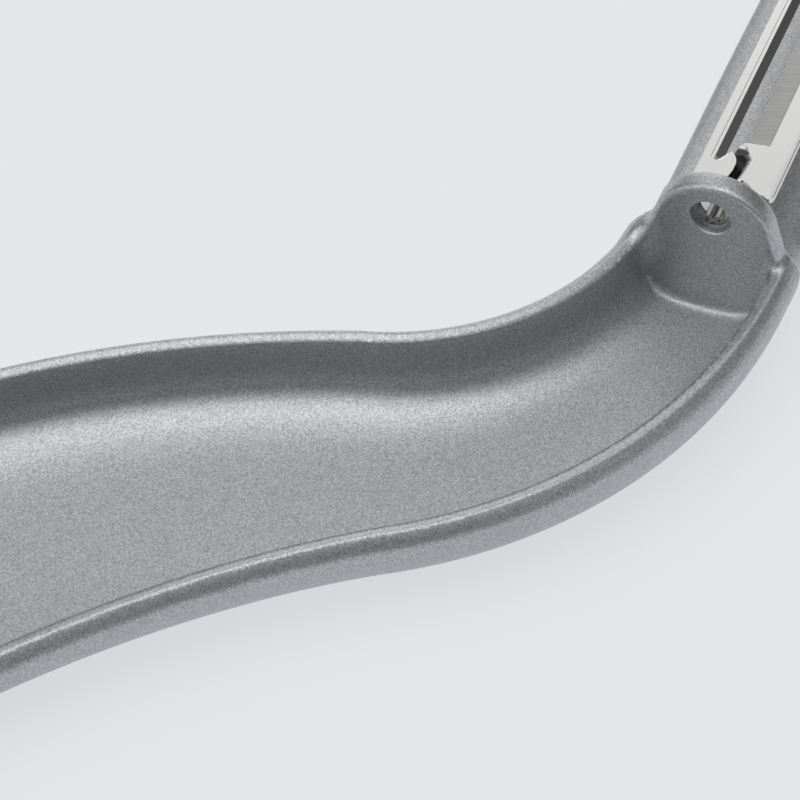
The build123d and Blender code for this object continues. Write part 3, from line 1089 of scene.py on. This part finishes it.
def rolled_ends(steel):
    """The four curls, two side by side at each end of the blade."""
    middle = PIN_START_X + PIN_LENGTH / 2
    places = [(x, side * PIN_OFFSET, SHEET_MIDDLE) for x in (middle, SPAN - middle) for side in (1, -1)]
    carrier = data_object(
        "curls",
        places,
        turn=[(0, QUARTER, 0)] * 4,
        hand=[(1, side, 1) for _ in range(2) for side in (1, -1)],
    )
    values = {
        "Places": carrier,
        "Outer radius": PIN_RADIUS - CURL_SHEET / 2,
        "Inner radius": CURL_INNER,
        "Sheet": CURL_SHEET,
        "Length": PIN_LENGTH,
        "Steel": steel,
    }
    mesh = run_tree("rolled_ends", curl_tree(), values)
    bpy.data.objects.remove(carrier)
    return outward(mesh)


def peeling_blade():
    """The blade in one piece: the stamped sheet with its slot and bevels, and its rolled ends."""
    polished = polished_steel()
    sheet = blade_sheet()
    curls = rolled_ends(polished)
    work = bmesh.new()
    for mesh in (sheet, curls):
        work.from_mesh(mesh)
    work.transform(BLADE_PLACE)
    result = bpy.data.meshes.new("blade_strip")
    work.to_mesh(result)
    work.free()
    result.materials.append(polished)
    result.materials.append(ground_steel())
    result.shade_smooth()
    result.set_sharp_from_angle(angle=STEEL_CREASE)
    return mesh_object("blade_strip", result)


coating = sand_lacquer()
casting = handle_casting(coating)
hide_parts("handle_casting")
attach(casting, "handle")

blade = peeling_blade()
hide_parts("blade")
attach(blade, "blade")


# Floor, camera and light

TABLE_REACH = 6.0
TABLE_GLOW = 0.75  # share of the table's look that doesn't depend on the light, so that it stays pale
CAMERA_PLACE = PIVOT + Vector((-199.0, -56.7, 208.7)) * MM
CAMERA_RIGHT = Vector((0.3846, -0.9226, -0.028))
CAMERA_BACK = Vector((-0.5999, -0.273, 0.7521))

# Room's glow, one entry for each pale wall or window: azimuth, elevation, sharpness and level
ROOM_GLOW = {
    "pale ceiling": (0, 90, 8, 1.95),
    "window behind the peeler": (20, 30, 14, 0.75),
    "window's lower part": (20, 10, 14, 1.25),
    "bright pane that the blade mirrors": (37, 42, 40, 0.15),
    "wall on the left": (130, 35, 4, 1.1),
    "wall on the right": (-90, 35, 4, 0.37),
}
ROOM_SEEN = 0.82  # level of the room where the camera looks past the table


def studio_floor():
    """Matt white table that the peeler lies on."""
    made, tree, shader = material_tree("matt_white_table")
    place = add_node(tree, "ShaderNodeTexCoord").outputs["Object"]
    cloud = add_node(tree, "ShaderNodeTexNoise", {"Vector": place, "Scale": 2.0, "Detail": 1.0})
    tint(tree, shader, cloud.outputs["Fac"], "#E8EAEE", "#ECEEF2")
    shader.inputs["Roughness"].default_value = 0.9
    shader.inputs["Specular IOR Level"].default_value = 0.1
    rays = add_node(tree, "ShaderNodeLightPath").outputs
    seen = calculate(tree, "MAXIMUM", rays["Is Camera Ray"], rays["Is Glossy Ray"])
    seen = calculate(tree, "MAXIMUM", seen, rays["Is Transmission Ray"])
    share = calculate(tree, "MULTIPLY", seen, TABLE_GLOW)
    glow = add_node(tree, "ShaderNodeEmission", {"Color": linear("#EBEDF1"), "Strength": 1.0})
    surface = add_node(
        tree, "ShaderNodeMixShader", {0: share, 1: shader.outputs[0], 2: glow.outputs[0]}
    )
    output = next(node for node in tree.nodes if node.type == "OUTPUT_MATERIAL")
    tree.links.new(surface.outputs[0], output.inputs["Surface"])
    mesh = bpy.data.meshes.new("table")
    corners = [(x * TABLE_REACH, y * TABLE_REACH, 0) for x, y in ((-1, -1), (1, -1), (1, 1), (-1, 1))]
    mesh.from_pydata(corners, [], [(0, 1, 2, 3)])
    mesh.materials.append(made)
    floor = mesh_object("table", mesh)


def studio_camera():
    """Camera at the photograph's place."""
    lens = bpy.data.cameras.new("camera")
    lens.lens = 135
    lens.sensor_width = 36
    lens.clip_start = 0.01
    right = CAMERA_RIGHT.normalized()
    back = CAMERA_BACK.normalized()
    up = back.cross(right).normalized()
    right = up.cross(back)
    camera = bpy.data.objects.new("camera", lens)
    turn = Matrix((right, up, back)).transposed().to_4x4()
    camera.matrix_world = Matrix.Translation(CAMERA_PLACE) @ turn
    bpy.context.scene.collection.objects.link(camera)
    bpy.context.scene.camera = camera


def studio_light():
    """Room that lights the peeler softly: a pale ceiling, a window behind it and walls beside it."""
    world = bpy.data.worlds.new("studio")
    world.use_nodes = True
    tree = world.node_tree
    tree.nodes.clear()
    ray = add_node(tree, "ShaderNodeTexCoord").outputs["Generated"]
    level = 0.0
    for azimuth, elevation, sharpness, strength in ROOM_GLOW.values():
        across = cos(radians(elevation))
        toward = (across * cos(radians(azimuth)), across * sin(radians(azimuth)), sin(radians(elevation)))
        facing = add_node(tree, "ShaderNodeVectorMath", {0: ray, 1: toward}, operation="DOT_PRODUCT")
        ahead = calculate(tree, "MAXIMUM", facing.outputs["Value"], 0.0)
        spread = calculate(tree, "POWER", ahead, sharpness)
        level = calculate(tree, "MULTIPLY_ADD", spread, strength, level)
    rays = add_node(tree, "ShaderNodeLightPath").outputs
    shown = add_node(tree, "ShaderNodeMix", {"Factor": rays["Is Camera Ray"], "A": level, "B": ROOM_SEEN})
    glow = {"Color": linear("#FFFFFF"), "Strength": shown.outputs["Result"]}
    room = add_node(tree, "ShaderNodeBackground", glow)
    add_node(tree, "ShaderNodeOutputWorld", {"Surface": room.outputs[0]})
    bpy.context.scene.world = world


studio_floor()
studio_camera()
studio_light()
bpy.context.scene.view_settings.view_transform = "Standard"
